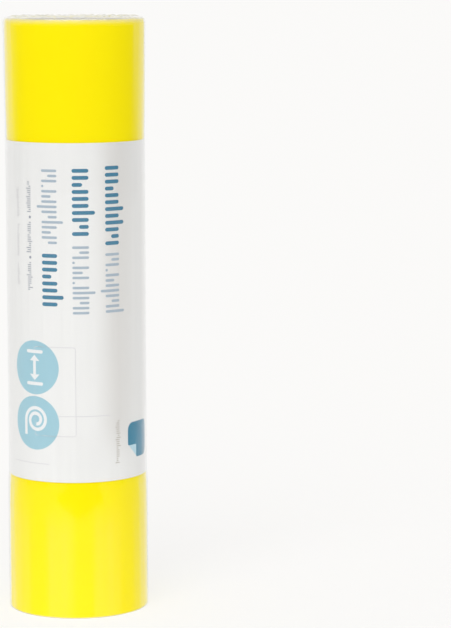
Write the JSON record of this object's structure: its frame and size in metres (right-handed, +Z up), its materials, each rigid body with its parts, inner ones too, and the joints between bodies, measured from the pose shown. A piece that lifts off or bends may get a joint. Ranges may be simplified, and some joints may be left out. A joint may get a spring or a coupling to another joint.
{
  "type": "roll of sign vinyl",
  "caption": "Roll of matte yellow self-adhesive sign vinyl wound on a paperboard core, with a paper label band and a clear shrink film, standing on its end.",
  "frame": {"origin": "middle of the bottom end, on the plane that the roll stands on", "axes": "+Z up along the roll's axis, -Y to the front of the label, +Y to the seams"},
  "size_m": [0.0548, 0.0548, 0.2306],
  "materials": {
    "core_card": "matte spiral-wound pale grey paperboard",
    "masking_tape": "crepe paper tape",
    "liner_paper": "satin silicone-coated paper",
    "matte_yellow_vinyl": "matte yellow vinyl film",
    "clear_tape": "clear adhesive tape",
    "label_paper": "white printed paper, teal and grey-blue ink",
    "clear_film": "clear glossy shrink film"
  },
  "bodies": {
    "roll": {"core_tube": "core_card", "core_tape": "masking_tape", "release_liner": "liner_paper", "vinyl_film": "matte_yellow_vinyl", "tail_tape": "clear_tape"},
    "wrap": {"label_band": "label_paper", "label_seam_tape": "clear_tape", "shrink_film": "clear_film"}
  },
  "joints": [
    {"name": "wrap_turn", "type": "hinge", "parent": "roll", "child": "wrap", "pos_m": [0, 0, 0.1153], "axis": [0, 0, 1], "continuous": true}
  ]
}
